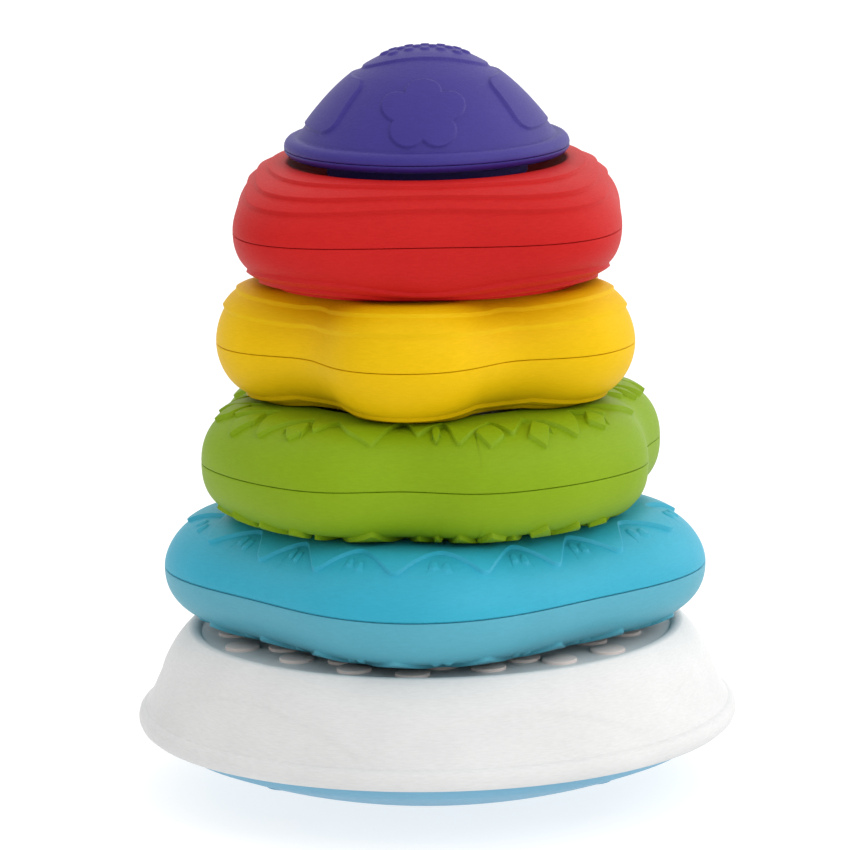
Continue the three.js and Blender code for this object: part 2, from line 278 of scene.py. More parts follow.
class Ring:
    """One hollow ring: its outline, opening, shoulder shapes and raised pattern."""

    def __init__(self, body, material, mean, crests, opening, shoulders, steps, relief,
                 relief_height, samples, under_inset=0, under_material=None):
        self.body = body
        self.material = material
        self.mean = mean                   # mean distance of the edge from the axis
        self.outline = wave_outline(mean, *crests)
        self.opening = opening             # edge of the funnel in each flat face
        self.shoulders = shoulders         # upper and lower: (mean width, widening, roundness)
        self.steps = steps                 # how many sections go round the ring
        self.relief = relief
        self.relief_height = relief_height
        self.samples = samples             # points on the shoulder before, between and after the steps
        self.under_inset = under_inset     # how much further in the pattern of the lower half is
        # material of the lower half; on the blue ring it is a paler copy of the blue, painted floor
        # sheen
        self.under_material = under_material or material


RUN = 0.3                     # how far in a raised edge climbs
SHOULDER_START = 0.03         # place on the shoulder's curve of its first point above the seam
EDGE_CRISPNESS = 0.02         # distance on that curve of a point kept close to each step


def shoulder_place(inset, width, half, power):
    """Position along the shoulder's curve of a point at this inset from the edge."""
    if inset >= width:
        return math.pi / 2 + (inset - width) / half
    return math.acos(max(1 - inset / width, 0) ** (power / 2))


def shoulder_point(place, edge, width, half, power, lift):
    """(radius, height) at a position along the shoulder, moved out by `lift` along its normal."""
    if place >= math.pi / 2:
        return edge - width - (place - math.pi / 2) * half, half + lift
    cosine = math.cos(place)
    sine = math.sin(place)
    across = cosine ** (2 - 2 / power) / width
    up = sine ** (2 - 2 / power) / half
    length = math.hypot(across, up)
    radius = edge - width * (1 - cosine ** (2 / power)) + lift * across / length
    height = half * sine ** (2 / power) + lift * up / length
    return radius, height


def spread(start, end, count, near):
    """Places from start to end, with one close to each end to keep the edges crisp."""
    length = end - start
    near = min(near, length / 3)
    inner = [start + near + (length - 2 * near) * index / (count - 1) for index in range(count)]
    return [start, *inner, end]


def patterned_shoulder(ring, angle, half, lower):
    """Outside of a half ring from its seam to its opening, and the hollow side of the same wall."""
    edge = ring.outline(angle)
    opening = ring.opening(angle)
    mean_width, widening, power = ring.shoulders[lower]
    width = min(mean_width + widening * (edge - ring.mean), edge - opening - 1)
    further_in = ring.under_inset if lower else 0

    def place(inset):
        return shoulder_place(inset, width, half, power)

    def stretch(start, end, count, lift):
        return [shoulder_point(at, edge, width, half, power, lift)
                for at in spread(start, end, count, EDGE_CRISPNESS)]

    points = []
    lift = 0
    start = SHOULDER_START
    for (inset, run, rise), count in zip(ring.relief(angle), ring.samples):
        foot = max(place(inset + further_in), start + 0.01)
        points += stretch(start, foot, count, lift)
        lift += rise
        start = max(place(inset + further_in + run), foot + 0.005)
    rim = place(edge - opening - 1)
    points += stretch(start, max(rim, start + 0.02), ring.samples[-1], lift)
    hollow = [shoulder_point(at, edge - WALL, width, half - WALL, power, 0) for at in (1.3, 0.9, 0.5)]
    return points, hollow


def funnel(opening, half, ceiling):
    """Section from the face's opening down to the bore, and back up inside the wall."""
    halfway = BORE_RADIUS + (opening - BORE_RADIUS) * 0.45
    return [
        (opening + 0.35, half - 0.12),
        (opening, half - 0.6),
        (opening - 0.5, half - 1.6),
        (halfway, half * 0.5),
        (BORE_RADIUS + 0.8, 4.2),
        (BORE_RADIUS, 2.6),
        (BORE_RADIUS, SEAM / 2),
        (BORE_RADIUS + WALL, SEAM / 2),
        (BORE_RADIUS + WALL, 4),
        (opening + 1, ceiling),
    ]


def seam_joint(edge, lower):
    """Section at the seam: a tongue on the lower half, or the rebate that it goes into."""
    seam = SEAM / 2
    if lower:
        joint = [(edge - 2.15, 0.6), (edge - 2.15, -1.1), (edge - 1.4, -1.1), (edge - 1.4, seam)]
    else:
        joint = [(edge - 2.25, 1.5), (edge - 2.2, 1.4), (edge - 1.2, 1.4), (edge - 1.2, seam)]
    bevel = [(edge - 0.25, seam), (edge - 0.08, seam + 0.08), (edge - 0.01, seam + 0.25)]
    return joint + bevel


def ring_section(ring, angle, half, lower):
    """Closed section of a half ring in one direction, as (radius, height) points."""
    flat = half - ring.relief_height
    outside, hollow = patterned_shoulder(ring, angle, flat, lower)
    return (outside + funnel(ring.opening(angle), half, flat - WALL) + hollow
            + seam_joint(ring.outline(angle), lower))


def half_ring(ring, lower):
    """The upper or the lower half of a ring as its own piece."""
    upper_node, lower_node = f"{ring.body}_upper", f"{ring.body}_lower"
    seam = (low(upper_node) + high(lower_node)) / 2
    if lower:
        node, half, side = lower_node, seam - low(lower_node), -1
    else:
        node, half, side = upper_node, high(upper_node) - seam, 1
    rows = []
    for index in range(ring.steps):
        angle = index * TAU / ring.steps
        across, away = math.cos(angle), math.sin(angle)
        rows.append([(radius * across, radius * away, seam + side * height)
                     for radius, height in ring_section(ring, angle, half, lower)])
    vertices, faces = skin([list(row) for row in zip(*rows)], ring.steps, closed=True)
    slot = ring.body.replace("_ring", "_plastic")
    material = ring.under_material if lower else ring.material
    add_piece(f"{node}_shell", vertices, faces, ring.body, slot, material, (node,))


def along(points, place):
    """Height at a place along straight runs between (place, height) points in rising order."""
    for (start, low_end), (end, high_end) in zip(points, points[1:]):
        if place <= end:
            return low_end + (high_end - low_end) * (place - start) / (end - start)
    return points[-1][1]


def eased(height_at, place, soft):
    """Mean height over a short stretch, which rounds off the corners of straight runs."""
    return sum(height_at(place + soft * share) for share in (-1, -0.5, 0, 0.5, 1)) / 5


def blank_band(plate):
    """A band with no height, that keeps the section's points in step where nothing is raised."""
    return [(0.5 * plate, 0.05, 0), (0.55 * plate, 0.05, 0)]


# Blue ring: a raised plate with pointed waves all round, and two small drops between them.
WAVES = 17
FIRST_WAVE = math.radians(-99.3)
WAVE_RISE = 1
BLUE_CORNER = -94.4
DROPS = [(-1.5, 8.4, 12.4), (1.5, 7.4, 11.4)]     # turn from the bay's middle, and inset of both ends
DROP_HALF = 1.25              # half width, in degrees
DROP_RISE = 0.6


def wave_inset(place, cornering):
    """Inset of the plate's edge; `place` counts waves, with a tip at each whole number."""
    tip, bay = 5.2 + 0.6 * cornering, 15.6 + 1.4 * cornering
    return bay - (bay - tip) * (1 - 2 * abs(place - round(place))) ** 1.25


def wave_relief(angle):
    """Blue ring's pattern in one direction."""
    place = (angle - FIRST_WAVE) / (TAU / WAVES)
    cornering = math.cos(4 * (angle - math.radians(BLUE_CORNER)))
    plate = eased(lambda at: wave_inset(at, cornering), place, 0.06)
    band = blank_band(plate)
    from_bay = (place % 1 - 0.5) * 360 / WAVES
    for middle, outer, inner in DROPS:
        aside = abs(from_bay - middle) / DROP_HALF
        if aside < 0.95:
            half = (inner - outer) / 2 * math.sqrt(1 - aside ** 2)
            centre = min((inner + outer) / 2, plate - half - 1)
            rise = DROP_RISE * (1 - aside ** 2)
            band = [(centre - half, 2 * RUN, rise), (centre + half - 2 * RUN, 2 * RUN, -rise)]
    return [*band, (plate, RUN, WAVE_RISE)]


# Green ring: a jagged raised plate and kite-shaped leaves, repeated on each quarter. Places
# are degrees round from the quarter's start, and heights are insets from the edge.
QUARTER_START = -106.5
LEAF_RISE = 1.25
JAGGED_EDGE = [(0, 3.8), (6.5, 17), (12, 6.5), (20.5, 17), (22.8, 4.2), (35, 18.5), (38, 7.5),
               (47, 18.5), (56, 4), (66, 18), (72.5, 8.3), (75, 18), (82, 9.5), (90, 3.8)]
KITES = [                     # left corner, outer tip, right corner, inner tip
    ((16, 9), (17.4, 4.6), (19, 9.5), (17.6, 13)),
    ((28, 10.5), (31, 4.5), (36, 8), (34, 14.5)),
    ((42, 7), (45.6, 3.2), (50, 9), (47.2, 14)),
    ((63, 8.8), (66.5, 5.2), (70, 8.5), (68, 13.5)),
]


def leaf_relief(angle):
    """Green ring's pattern in one direction."""
    place = (math.degrees(angle) - QUARTER_START) % 90
    plate = eased(lambda at: along(JAGGED_EDGE, at % 90), place, 0.7)
    band = blank_band(plate)
    for left, tip, right, heel in KITES:
        if left[0] < place < right[0]:
            near = along((left, tip, right), place)
            far = min(along((left, heel, right), place), plate - 0.6)
            rise = LEAF_RISE * min(max((far - near) / 1.2, 0), 1)
            if far - near > 0.5:
                band = [(near, RUN, rise), (far - RUN, RUN, -rise)]
    return [*band, (plate, RUN, LEAF_RISE)]


# Red and yellow rings: terraces. The red ring's are spaced more widely at the corners.
RED_CORNER = 44
RED_TERRACES = [(4.1, 0.4), (7.8, 1.1), (12.7, 3)]     # mean inset, and how much more at a corner
RED_RISE = 0.85
RED_RUN = 0.25
YELLOW_LOBE = -98.9
YELLOW_TERRACES = [(2.6, 0.35, 0.9), (6.4, 0.5, 0.7)]


def red_relief(angle):
    """Red ring's pattern in one direction."""
    cornering = math.cos(4 * (angle - math.radians(RED_CORNER)))
    return [(inset + more * cornering, RED_RUN, RED_RISE) for inset, more in RED_TERRACES]


RINGS = [
    # The blue ring's lower half takes the paler blue copy, painted floor sheen
    Ring("blue_ring", BLUE, mean=72.2, crests=(4, BLUE_CORNER, [4.85]), opening=circle_outline(38),
         shoulders=((18.6, -0.38, 1.8), (21.2, 0.12, 2.3)), steps=612, relief=wave_relief,
         relief_height=WAVE_RISE, samples=(12, 8, 8, 12), under_material=FLOOR_SHEEN_BLUE),
    Ring("green_ring", GREEN, mean=65.5, crests=(4, 37.4, [2.87, -1.55, 0.35]),
         opening=circle_outline(38), shoulders=((14, 0.25, 2.15), (16.8, 0.37, 2.5)), steps=720,
         relief=leaf_relief, relief_height=LEAF_RISE, samples=(12, 8, 8, 12)),
    Ring("yellow_ring", YELLOW, mean=56.1, crests=(5, YELLOW_LOBE, [5.5, -0.85]),
         opening=wave_outline(37, 5, YELLOW_LOBE, [2.6, -0.3]),
         shoulders=((13, -0.5, 1.9), (14.5, -0.8, 1.9)), steps=480,
         relief=lambda angle: YELLOW_TERRACES, relief_height=1.6, samples=(14, 7, 12), under_inset=5.5),
    Ring("red_ring", RED, mean=58.8, crests=(4, RED_CORNER, [4.9, 0.3]), opening=circle_outline(39),
         shoulders=((17.5, 0.9, 1.95), (13.4, 1.6, 2.15)), steps=480, relief=red_relief,
         relief_height=len(RED_TERRACES) * RED_RISE, samples=(14, 6, 6, 5)),
]

for ring in RINGS:
    for lower in (False, True):
        half_ring(ring, lower)


# ---- rocker base ----------------------------------------------------------------------------

FOOT_RADIUS = 20
ROCKER_SPHERE_RADIUS = 190    # the curve that the toy rocks on
BOWL_RADIUS = 78.7
BOWL_RIM_TOP = 21
DECK_HEIGHT = 45.5
DECK_UNDERSIDE = 43.1
DECK_RADIUS = 66.8
SEAT_RADIUS = 44              # low step round the post that the first ring rests on
SEAT_TOP = 47.2
LIP_BOTTOM = 18.4
LIP_RADIUS = 85.2
POST_BASE_RADIUS = 27
POST_TOP_RADIUS = 25.2
WEIGHT_RADIUS = 26
COVER_RADIUS = 38
FLANGE_RADIUS = 36
FLANGE_TOP = 35.4
SECTORS = 6                   # the base repeats this many times round the axis
FIRST_SECTOR = math.radians(-135)
DOT_RADIUS = 4.9
DOT_HEIGHT = 0.9
SECTOR_DOTS = [(55, 0), (59.4, -21.5), (57.2, 21.5), (49.3, -14), (49.3, 14)]
ARCH_TOP = 37.9               # top of the shallow arched panels round the side
ARCH_FALL = 11
ARCH_DEPTH = 0.35
ARCH_SOFTNESS = 1.3           # height over which a panel's top edge is set back
BASE_SCREWS = (4, 60, 45)     # count, circle radius, first direction
POST_SCREWS = (3, 31.8, 30)
COVER_SCREWS = (2, 33, 0)
THREAD_PITCH = 0.75
RECESS_ARM = (1.7, 0.35)      # half length and half width of each arm of the cross in a screw's head
RECESS_DEPTH = 0.9
SCREW_HOLE_RADIUS = 1.8
PILOT_RADIUS = 1.4            # hole in a boss that a screw bites into
SHARP_ANGLE = 32              # degrees between faces from which an edge is left crisp


def places_on(count, distance, first):
    """(x, y) places evenly round the axis, the first one at `first` degrees."""
    angles = [math.radians(first) + index * TAU / count for index in range(count)]
    return [(distance * math.cos(angle), distance * math.sin(angle)) for angle in angles]


def shifted(shape, x, y):
    vertices, faces = shape
    return [(a + x, b + y, c) for a, b, c in vertices], faces


def repeated(shape, places):
    """A copy of a shape at each (x, y) place."""
    return [shifted(shape, x, y) for x, y in places]


def joined(shapes):
    """Several closed shapes as one list of vertices and faces."""
    vertices, faces = [], []
    for more_vertices, more_faces in shapes:
        start = len(vertices)
        vertices += more_vertices
        faces += [tuple(corner + start for corner in face) for face in more_faces]
    return vertices, faces


def upright(radius, bottom, top):
    """Upright round bar about the axis."""
    return turned([(0, bottom), (radius, bottom), (radius, top), (0, top)], 32)


def scratch_object(shape):
    """Short-lived object that a shape is cut or joined with."""
    scratch = bpy.data.objects.new("scratch", clean_mesh("scratch", *shape))
    bpy.context.scene.collection.objects.link(scratch)
    return scratch


def combined(shape, added=(), removed=()):
    """Joins the added shapes to a shape, then cuts the removed ones out of it."""
    body = scratch_object(shape)
    tools = []
    for operation, others in (("UNION", added), ("DIFFERENCE", removed)):
        for other in others:
            tool = scratch_object(other)
            tools.append(tool)
            step = body.modifiers.new("step", "BOOLEAN")
            step.operation = operation
            step.solver = "EXACT"
            step.object = tool
    bpy.context.view_layer.update()
    result = bpy.data.meshes.new_from_object(body.evaluated_get(bpy.context.evaluated_depsgraph_get()))
    vertices = [tuple(vertex.co) for vertex in result.vertices]
    faces = [tuple(face.vertices) for face in result.polygons]
    for scratch in (body, *tools):
        mesh = scratch.data
        bpy.data.objects.remove(scratch)
        bpy.data.meshes.remove(mesh)
    bpy.data.meshes.remove(result)
    return vertices, faces


def sharpened(piece, degrees=SHARP_ANGLE):
    """Keeps the edges of a turned piece crisp where its faces meet at a clear angle."""
    piece.data.set_sharp_from_angle(angle=math.radians(degrees))


def rocker_height(radius):
    """Height of the rocking surface above the floor at a distance from the axis."""
    return (math.sqrt(ROCKER_SPHERE_RADIUS ** 2 - FOOT_RADIUS ** 2)
            - math.sqrt(ROCKER_SPHERE_RADIUS ** 2 - radius ** 2))


def rocker_bowl():
    """Domed underside, with a ring that holds the weight, screw wells, and the cover's bosses."""
    outside = [(0, 0), (FOOT_RADIUS - 0.4, 0)]
    outside += [(radius, rocker_height(radius)) for radius in range(FOOT_RADIUS + 1, 76, 3)]
    outside += [(77.6, 16.6), (BOWL_RADIUS, LIP_BOTTOM), (BOWL_RADIUS, BOWL_RIM_TOP)]
    inside = [(radius, rocker_height(radius) + WALL + 0.2) for radius in (71, 60, 47, 33)]
    bowl = turned([*outside, (BOWL_RADIUS - WALL, BOWL_RIM_TOP), (BOWL_RADIUS - WALL, 18.8), *inside,
                   (FOOT_RADIUS, WALL), (0, WALL)], 128)
    weight_ring = turned([(21, 1.5), (24, 1.5), (24, 4.3), (21, 4.3)], 48)
    pad, well = upright(5.8, 10.4, 14.6), upright(4.2, 5, 12.4)
    hole = upright(SCREW_HOLE_RADIUS, 10, 15.6)
    boss, pilot = upright(3.4, 4.4, 7.7), upright(PILOT_RADIUS, 4.6, 8.7)
    base_places, cover_places = places_on(*BASE_SCREWS), places_on(*COVER_SCREWS)
    shape = combined(
        bowl,
        added=[weight_ring, *repeated(pad, base_places), *repeated(boss, cover_places)],
        removed=[*repeated(well, base_places), *repeated(hole, base_places),
                 *repeated(pilot, cover_places)])
    sharpened(add_piece("rocker_bowl_shell", *shape, "base", "light_blue_plastic", SKY,
                        ("rocker_bowl",)))


def smooth(value):
    """0 to 1 with a soft start and end."""
    value = min(max(value, 0), 1)
    return value * value * (3 - 2 * value)


def arch_depth(angle, height):
    """How far the base's side is set back at a direction and height, inside the arched panels."""
    from_middle = from_nearest(angle, SECTORS, FIRST_SECTOR) / (TAU / SECTORS / 2)
    below = ARCH_TOP - ARCH_FALL * from_middle ** 2 - height
    return ARCH_DEPTH * smooth(below / ARCH_SOFTNESS + 0.5)


def base_shell():
    """White shell with its lip, arched side panels, rim, deck and seat, and the bosses under it."""
    lip = [(BOWL_RADIUS + GAP, LIP_BOTTOM), (82.4, LIP_BOTTOM), (83.6, 18.65), (84.6, 19.5),
           (LIP_RADIUS, 20.9), (LIP_RADIUS, 22.1), (84.9, 23.3), (84.3, 24.1), (83.6, 24.5),
           (83.1, 24.65), (82.95, 24.95)]
    side = rounded([(82.6, 25.8), (81.4, 28.3), (78.9, 33.7), (76.9, 38.1), (74.6, 42), (72.2, 45),
                    (70.4, 46.7)], 9)
    rim = [(69.7, 46.95), (68.8, 47), (67.9, 46.8), (67.2, 46.3), (DECK_RADIUS, DECK_HEIGHT)]
    seat = [(SEAT_RADIUS + 0.5, DECK_HEIGHT), (SEAT_RADIUS, SEAT_TOP - 0.3),
            (SEAT_RADIUS - 0.3, SEAT_TOP), (POST_BASE_RADIUS + GAP, SEAT_TOP)]
    under = [(POST_BASE_RADIUS + GAP, DECK_UNDERSIDE), (67.5, DECK_UNDERSIDE), (74.2, 36),
             (BOWL_RADIUS + GAP, 24)]
    steps = 384
    rings = [circle(radius, height, steps) for radius, height in lip]
    for radius, height in side:
        ring = []
        for index in range(steps):
            angle = index * TAU / steps
            set_back = radius - arch_depth(angle, height)
            ring.append((set_back * math.cos(angle), set_back * math.sin(angle), height))
        rings.append(ring)
    rings += [circle(radius, height, steps) for radius, height in (*rim, *seat, *under)]
    tubes = repeated(tube(4.4, 14.9), places_on(*BASE_SCREWS))
    tubes += repeated(tube(3.6, 35.7), places_on(*POST_SCREWS))
    shape = joined([skin(rings, steps, closed=True), *tubes])
    sharpened(add_piece("base_shell_body", *shape, "base", "white_plastic", WHITE, ("base_shell",)), 45)


def tube(radius, bottom):
    """Screw boss under the deck, open at its lower end."""
    top = DECK_UNDERSIDE + 0.9
    return turned([(PILOT_RADIUS, bottom), (radius, bottom), (radius, top), (PILOT_RADIUS, top)], 32)


def deck_dots():
    """Low round grips on the deck, the same in every sector."""
    top = DECK_HEIGHT + DOT_HEIGHT
    dot = turned([(0, DECK_HEIGHT - 0.6), (DOT_RADIUS, DECK_HEIGHT - 0.6), (DOT_RADIUS, top - 0.35),
                  (DOT_RADIUS - 0.12, top - 0.12), (DOT_RADIUS - 0.4, top), (0, top)], 48)
    dots = []
    for distance, turn in SECTOR_DOTS:
        dots += repeated(dot, places_on(SECTORS, distance, math.degrees(FIRST_SECTOR) + turn))
    sharpened(add_piece("deck_dots", *joined(dots), "base", "white_plastic", DOT_WHITE))


def centre_post():
    top = high("centre_post")
    bottom = FLANGE_TOP - WALL
    inside = [(0, top - WALL), (POST_TOP_RADIUS - WALL, top - WALL), (POST_BASE_RADIUS - WALL, bottom)]
    flange = [(FLANGE_RADIUS, bottom), (FLANGE_RADIUS, FLANGE_TOP), (POST_BASE_RADIUS, FLANGE_TOP)]
    outside = [(POST_BASE_RADIUS, SEAT_TOP), (POST_TOP_RADIUS, top - 2),
               (POST_TOP_RADIUS - 0.4, top - 0.9), (POST_TOP_RADIUS - 1.1, top - 0.25),
               (POST_TOP_RADIUS - 2, top), (0, top)]
    holes = repeated(upright(SCREW_HOLE_RADIUS, bottom - 1, FLANGE_TOP + 1), places_on(*POST_SCREWS))
    shape = combined(turned([*inside, *flange, *outside], 128), removed=holes)
    sharpened(add_piece("centre_post_body", *shape, "base", "white_plastic", WHITE, ("centre_post",)))


def ballast_weight():
    bottom = low("ballast_weight")
    top = high("ballast_weight")
    disc = turned([(0, bottom), (WEIGHT_RADIUS - 1, bottom), (WEIGHT_RADIUS, bottom + 1),
                   (WEIGHT_RADIUS, top - 0.5), (WEIGHT_RADIUS - 0.5, top), (0, top)], 96)
    sharpened(add_piece("ballast_weight_disc", *disc, "base", "steel", STEEL, ("ballast_weight",)))


def ballast_cover():
    flange = low("ballast_cover")
    ceiling = high("ballast_weight") + GAP
    inner = WEIGHT_RADIUS + GAP
    cover = turned([(0, ceiling), (inner, ceiling), (inner, flange), (COVER_RADIUS, flange),
                    (COVER_RADIUS, flange + WALL), (inner + WALL, flange + WALL),
                    (inner + WALL, ceiling + 1.4),
                    (inner + 1.4, ceiling + WALL), (0, ceiling + WALL)], 96)
    holes = repeated(upright(SCREW_HOLE_RADIUS, flange - 1, flange + WALL + 1), places_on(*COVER_SCREWS))
    shape = combined(cover, removed=holes)
    sharpened(add_piece("ballast_cover_cup", *shape, "base", "white_plastic", WHITE, ("ballast_cover",)))


def screw(node, points_down):
    """Pan-head screw with a cross recess and a threaded shank, on its CAD node's own place."""
    lower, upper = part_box(node)
    x, y = [(lower[axis] + upper[axis]) / 2 / MM for axis in (0, 1)]
    length = (upper[2] - lower[2]) / MM
    head = [(0, 0), (1.6, 0.02), (2.4, 0.18), (2.8, 0.5), (3, 1), (3, 1.8), (2.9, 2)]
    shank = [(0.95, 2)]
    turn = 2.4
    while turn < length - 1.9:
        shank += [(1.1, turn + 0.25), (0.9, turn + 0.5)]
        turn += THREAD_PITCH
    point = [(0.9, length - 1.5), (0, length)]
    cross = [block(*arm, RECESS_DEPTH) for arm in (RECESS_ARM, reversed(RECESS_ARM))]
    vertices, faces = combined(turned([*head, *shank, *point], 24), removed=cross)
    side = -1 if points_down else 1
    start = (upper if points_down else lower)[2] / MM
    vertices = [(x + a, y + side * b, start + side * c) for a, b, c in vertices]
    sharpened(add_piece(f"{node}_steel", vertices, faces, "base", "steel", STEEL, (node,)))


def block(half_x, half_y, height):
    """Cutting block over the origin, from 1 mm below it up to a height."""
    corners = [(x, y, z) for z in (-1, height) for x, y in
               ((-half_x, -half_y), (half_x, -half_y), (half_x, half_y), (-half_x, half_y))]
    return corners, [(0, 1, 2, 3), (4, 5, 6, 7), (0, 1, 5, 4), (1, 2, 6, 5), (2, 3, 7, 6), (3, 0, 4, 7)]


base_shell()
deck_dots()
rocker_bowl()
centre_post()
ballast_weight()
ballast_cover()
for name, (count, _, _) in {"base_screw": BASE_SCREWS, "post_screw": POST_SCREWS,
                            "cover_screw": COVER_SCREWS}.items():
    for number in range(1, count + 1):
        screw(f"{name}_{number}", name == "cover_screw")


# ---- cap ------------------------------------------------------------------------------------
# Heights are measured from the seam round the cap's lip.

CAP_PLANE = 183.9
CAP_RADIUS = 40.1
CAP_SOCKET_RADIUS = 27
CAP_SOCKET_CEILING = 7
CAP_COLLAR = 5                # how far the socket's wall hangs below the cap, inside the top ring
DOME_PROFILE = [(35.8, 3.7), (33.6, 6.6), (31.5, 9.3), (28.4, 12.9), (25.2, 16.2), (21.9, 19.1),
                (18.3, 21.7), (12.6, 24.8), (7.5, 26.5), (3, 27.1), (0, 27.2)]
DOME_CEILING = 25.4
CAP_BOTTOM = -2.4
CAP_STEPS = 512
FLOWER_PLACES = (math.radians(-92), math.radians(88))
FLOWER_RADIUS = 28.6          # distance of the raised flower's middle from the axis
FLOWER_SPREAD = 0.6           # radians to each side of a flower's middle that it stays within
PETALS = 5
PETAL_AWAY = 7.2
PETAL_RADIUS = 5.05
FLOWER_CORE = 6
PANEL_SPREAD = 0.62           # half width of a side panel, as a share of its distance from the axis
PANEL_INNER, PANEL_OUTER = 20.5, 33.9
PANEL_KEEP_OUT = (15, 8)      # no panel nearer to the axis, or to the middle plane, than this
PANEL_CORNER = 3.8
PLAQUE_AXES = (17.6, 10.6)
PLAQUE_RISE = 0.55
PATTERN_RISE = 0.65           # of the flowers and the side panels
BUMP_ROWS = [(-3.4, 5), (0.2, 6), (3.8, 5)]   # place along Y, and number of bumps
BUMP_SPACING = 4.4
BUMP_RADIUS = 1.35
BUMP_RISE = 0.6
BUMP_SOFTNESS = 0.9           # width over which a bump climbs


def edge_step(distance, width=0.35):
    """1 well inside an edge and 0 outside it, with a rounded climb of this width."""
    return smooth(0.5 - distance / width)


def flower_distance(across, upward):
    """Signed distance from the edge of a flower with one petal pointing up the slope."""
    distance = math.hypot(across, upward) - FLOWER_CORE
    for petal in range(PETALS):
        angle = math.pi / 2 + petal * TAU / PETALS
        away = math.hypot(across - PETAL_AWAY * math.cos(angle), upward - PETAL_AWAY * math.sin(angle))
        distance = min(distance, away - PETAL_RADIUS)
    return distance


def panel_distance(across, upward, half_width, half_length):
    """Signed distance from the edge of a rounded rectangle."""
    over = max(abs(across) - half_width + PANEL_CORNER, 0)
    beyond = max(abs(upward) - half_length + PANEL_CORNER, 0)
    inside = min(max(abs(across) - half_width, abs(upward) - half_length) + PANEL_CORNER, 0)
    return math.hypot(over, beyond) + inside - PANEL_CORNER


def plaque_bumps(x, y):
    """Plain round bumps in staggered rows on the oval plaque."""
    rise = 0
    for row, count in BUMP_ROWS:
        for number in range(count):
            middle = (number - (count - 1) / 2) * BUMP_SPACING
            distance = math.hypot(x - middle, y - row) - BUMP_RADIUS
            rise = max(rise, BUMP_RISE * edge_step(distance, BUMP_SOFTNESS))
    return rise


def dome_relief(x, y, slope, slope_at):
    """Height of the raised pattern at a point; slope lengths run from the apex down."""
    rise = 0
    radius = math.hypot(x, y)
    angle = math.atan2(y, x)
    for place in FLOWER_PLACES:
        turn = (angle - place + math.pi) % TAU - math.pi
        if abs(turn) < FLOWER_SPREAD:
            distance = flower_distance(turn * radius, slope_at(FLOWER_RADIUS) - slope)
            rise = max(rise, PATTERN_RISE * edge_step(distance))
    inner, outer = slope_at(PANEL_INNER), slope_at(PANEL_OUTER)
    if radius > PANEL_KEEP_OUT[0] and abs(x) > PANEL_KEEP_OUT[1]:
        upward = slope - (inner + outer) / 2
        distance = panel_distance(y, upward, PANEL_SPREAD * radius, (outer - inner) / 2)
        rise = max(rise, PATTERN_RISE * edge_step(distance))
    oval = math.hypot(x / PLAQUE_AXES[0], y / PLAQUE_AXES[1])
    rise = max(rise, PLAQUE_RISE * edge_step((oval - 1) * PLAQUE_AXES[1] * 1.2))
    return rise + plaque_bumps(x, y)


def slope_lengths(path):
    """Length of the slope from the apex down to each point of the dome's profile."""
    lengths = [0.0]
    for (radius, height), (next_radius, next_height) in zip(path, path[1:]):
        lengths.append(lengths[-1] + math.hypot(next_radius - radius, next_height - height))
    total = lengths[-1] + path[-1][0]
    return [total - length for length in lengths]


def outward(path):
    """Unit normal at each point of the dome's profile."""
    normals = []
    for number in range(len(path)):
        before = path[max(number - 1, 0)]
        after = path[min(number + 1, len(path) - 1)]
        run, climb = after[0] - before[0], after[1] - before[1]
        length = math.hypot(run, climb)
        normals.append((climb / length, -run / length))
    return normals


def patterned_dome():
    """Rings of points from the foot of the dome to its apex, with the raised pattern on them."""
    path = rounded(DOME_PROFILE, 14)[:-1]
    slopes = slope_lengths(path)

    def slope_at(radius):
        return next(slope for slope, (reached, _) in zip(slopes, path) if reached <= radius)

    rings = []
    for (radius, height), (out, up), slope in zip(path, outward(path), slopes):
        ring = []
        for x, y, _ in circle(radius, height, CAP_STEPS):
            rise = dome_relief(x, y, slope, slope_at)
            wider = 1 + rise * out / radius
            ring.append((x * wider, y * wider, height + rise * up))
        rings.append(ring)
    apex = (0, 0, path[-1][1] + PLAQUE_RISE + plaque_bumps(0, 0))
    return [*rings, [apex]]


def on_post(vertices):
    """Points of the cap, lifted from its own seam's height into its place on the post."""
    return [(x, y, CAP_PLANE + z) for x, y, z in vertices]


def cap_dome():
    seam = SEAM / 2
    inside = [(0, DOME_CEILING), (13, 22.4), (24.2, 14.2), (32.6, 4.2), (35.6, seam), (37.5, seam),
              (38.7, seam)]
    lip = [(CAP_RADIUS - inset, height) for inset, height in (
        (0.12, seam), (0.03, seam + 0.1), (0, seam + 0.5), (0.1, 1.2), (0.45, 2), (1.1, 2.7),
        (2, 3.15), (2.9, 3.2), (3.6, 3.05), (4.05, 3.15))]
    rings = [circle(radius, height, CAP_STEPS) for radius, height in (*inside, *lip)]
    vertices, faces = skin(rings + patterned_dome(), CAP_STEPS)
    add_piece("cap_dome_shell", on_post(vertices), faces, "cap", "purple_plastic", PURPLE, ("cap_dome",))


def cap_base():
    seam = -SEAM / 2
    sleeve = CAP_SOCKET_RADIUS + WALL - 0.4
    collar = CAP_SOCKET_RADIUS + 1.2
    collar_bottom = CAP_BOTTOM - CAP_COLLAR
    socket = [(0, CAP_SOCKET_CEILING), (CAP_SOCKET_RADIUS, CAP_SOCKET_CEILING),
              (CAP_SOCKET_RADIUS, collar_bottom), (collar, collar_bottom), (collar, CAP_BOTTOM)]
    lip = [(CAP_RADIUS - inset, height) for inset, height in (
        (3.1, CAP_BOTTOM), (1.9, -2.25), (0.9, -1.7), (0.3, -1), (0.05, -0.55), (0.03, seam - 0.1),
        (0.12, seam))]
    top = [(sleeve, seam), (sleeve, CAP_SOCKET_CEILING + 0.5), (sleeve - 1.2, CAP_SOCKET_CEILING + 1.8),
           (0, CAP_SOCKET_CEILING + 1.8)]
    vertices, faces = turned([*socket, *lip, *top], 192)
    sharpened(add_piece("cap_base_plate", on_post(vertices), faces, "cap", "purple_plastic", PURPLE,
                        ("cap_base",)))


